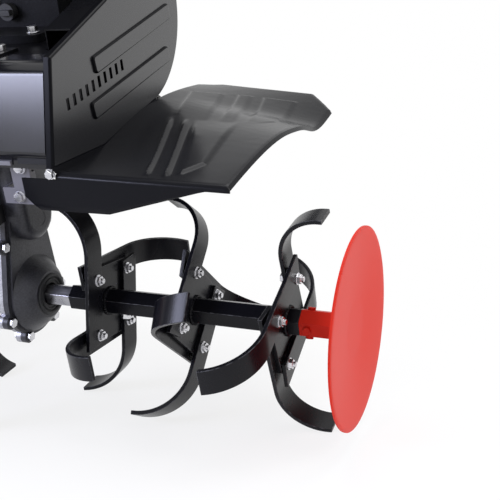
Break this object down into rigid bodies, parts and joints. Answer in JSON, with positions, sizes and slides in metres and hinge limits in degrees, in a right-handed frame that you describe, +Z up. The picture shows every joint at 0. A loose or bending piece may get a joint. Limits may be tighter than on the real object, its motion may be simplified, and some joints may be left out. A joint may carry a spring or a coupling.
{
  "type": "garden tiller",
  "caption": "Walk-behind garden tiller: an engine on a pressed frame drives bent tine rotors through belt and chain, with mudguards, plant discs, handlebar, drag spur and front wheel.",
  "frame": {"origin": "middle of the bounding box at ground level", "axes": "+X forward, towards the transport wheel; +Y to the machine's left; +Z up, with the machine leaning back on its tines and spur"},
  "size_m": [1.4732, 1.074, 0.9112],
  "materials": {
    "black_paint": "satin black powder coat",
    "tine_paint": "satin black paint",
    "disc_paint": "satin red paint",
    "zinc": "bright zinc plate",
    "steel": "bare machined steel",
    "pulley_iron": "turned cast iron",
    "dark_casting": "dark grey painted casting",
    "bare_casting": "bare die casting",
    "bracket_grey": "grey pressed steel",
    "rubber": "matt black rubber",
    "wheel_rubber": "solid black rubber wheel",
    "handle_paint": "satin black tube",
    "black_plastic": "matt black moulding",
    "tank_paint": "gloss black paint",
    "muffler_steel": "plain pressed steel",
    "plug_white": "black plug cap"
  },
  "bodies": {
    "frame": {"engine_frame": "black_paint", "belt_case": "black_paint", "belt_cover": "black_paint", "gearbox_left": "bare_casting", "gearbox_right": "dark_casting", "gearbox_bolts": "zinc", "gearbox_brackets": "bracket_grey", "shaft_seals": "rubber", "case_bearings": "steel", "mudguard_left": "black_paint", "mudguard_right": "black_paint", "crankcase": "bare_casting", "cylinder": "bare_casting", "spark_plug": "plug_white", "fan_housing": "black_plastic", "fuel_tank": "tank_paint", "muffler": "muffler_steel", "air_filter": "black_plastic", "carburettor": "bare_casting", "engine_nuts": "zinc", "handle_column": "black_paint", "handle_pivot": "zinc", "wheel_bracket": "black_paint", "spur_holder": "black_paint", "drive_chain": "steel", "drive_belt": "rubber"},
    "tines": {"tine_shaft": "steel", "rotor_tube_left": "tine_paint", "rotor_tube_right": "tine_paint", "tine_blades_left": "tine_paint", "tine_blades_right": "tine_paint", "blade_bolts": "zinc", "plant_disc_left": "disc_paint", "plant_disc_right": "disc_paint", "disc_pins": "zinc", "tine_sprocket": "steel"},
    "input": {"input_shaft": "steel", "input_pulley": "pulley_iron"},
    "crank": {"crankshaft": "steel", "engine_pulley": "pulley_iron"},
    "idler": {"idler_arm": "steel"},
    "idler_wheel": {"idler_roller": "steel"},
    "handle": {"handlebar": "handle_paint", "handle_grips": "rubber", "lever_clamps": "black_plastic"},
    "clutch": {"clutch_lever": "black_plastic"},
    "reverse": {"reverse_lever": "black_plastic"},
    "throttle": {"throttle_lever": "black_plastic"},
    "fork": {"wheel_fork": "black_paint", "wheel_axle": "zinc"},
    "wheel": {"front_wheel": "wheel_rubber"},
    "spur": {"drag_spur": "black_paint"},
    "screw": {"spur_screw": "zinc"},
    "leg_screw": {"wheel_screw": "zinc"},
    "recoil": {"recoil_grip": "black_plastic"},
    "cap": {"fuel_cap": "black_plastic"},
    "dip": {"dipstick": "black_plastic"}
  },
  "joints": [
    {"name": "tine_spin", "type": "hinge", "parent": "frame", "child": "tines", "pos_m": [0.27627, 0, 0.16413], "axis": [0, 1, 0], "continuous": true},
    {"name": "input_spin", "type": "hinge", "parent": "frame", "child": "input", "pos_m": [0.22455, 0, 0.45424], "axis": [0, 1, 0], "continuous": true},
    {"name": "crank_spin", "type": "hinge", "parent": "frame", "child": "crank", "pos_m": [0.38451, 0, 0.66005], "axis": [0, 1, 0], "continuous": true},
    {"name": "idler_swing", "type": "hinge", "parent": "frame", "child": "idler", "pos_m": [0.26554, 0, 0.45518], "axis": [0, -1, 0], "range_deg": [0, 4], "stiffness_Nm_per_rad": 12, "deforming": ["drive_belt"]},
    {"name": "idler_spin", "type": "hinge", "parent": "idler", "child": "idler_wheel", "pos_m": [0.35997, 0, 0.52378], "axis": [0, 1, 0], "continuous": true},
    {"name": "handle_height", "type": "hinge", "parent": "frame", "child": "handle", "pos_m": [0.13635, 0, 0.58478], "axis": [0, 1, 0], "range_deg": [-10, 12]},
    {"name": "clutch_pull", "type": "hinge", "parent": "handle", "child": "clutch", "pos_m": [-0.58911, -0.235, 0.72524], "axis": [0, 1, 0], "range_deg": [0, 8], "stiffness_Nm_per_rad": 2},
    {"name": "reverse_pull", "type": "hinge", "parent": "handle", "child": "reverse", "pos_m": [-0.58911, 0.235, 0.72524], "axis": [0, 1, 0], "range_deg": [0, 8], "stiffness_Nm_per_rad": 2},
    {"name": "throttle_turn", "type": "hinge", "parent": "handle", "child": "throttle", "pos_m": [-0.51646, -0.235, 0.75887], "axis": [0.286, 0, 0.9582], "range_deg": [-30, 30]},
    {"name": "wheel_height", "type": "slide", "parent": "frame", "child": "fork", "axis": [0.2419, 0, -0.9703], "range_m": [0, 0.1]},
    {"name": "wheel_spin", "type": "hinge", "parent": "fork", "child": "wheel", "pos_m": [0.63656, 0, 0.37249], "axis": [0, 1, 0], "continuous": true},
    {"name": "spur_slide", "type": "slide", "parent": "frame", "child": "spur", "axis": [-0.2419, 0, 0.9703], "range_m": [0, 0.136]},
    {"name": "screw_turn", "type": "hinge", "parent": "frame", "child": "screw", "pos_m": [0.04927, 0, 0.18999], "axis": [0.9703, 0, 0.2419], "range_deg": [0, 90]},
    {"name": "leg_screw_turn", "type": "hinge", "parent": "frame", "child": "leg_screw", "pos_m": [0.59423, 0, 0.54229], "axis": [0.9703, 0, 0.2419], "range_deg": [0, 90]},
    {"name": "recoil_pull", "type": "slide", "parent": "frame", "child": "recoil", "axis": [-0.9214, 0, 0.3886], "range_m": [0, 0.35], "stiffness_N_per_m": 25},
    {"name": "cap_turn", "type": "hinge", "parent": "frame", "child": "cap", "pos_m": [0.31715, -0.004, 0.76487], "axis": [-0.2419, 0, 0.9703], "range_deg": [0, 90]},
    {"name": "dipstick_turn", "type": "hinge", "parent": "frame", "child": "dip", "pos_m": [0.30176, 0.026, 0.5951], "axis": [0.9703, 0, 0.2419], "range_deg": [0, 90]}
  ],
  "couplings": [
    {"joint": "input_spin", "follows": "tine_spin", "ratio": 1.625},
    {"joint": "clutch_pull", "follows": "idler_swing", "ratio": 2}
  ]
}
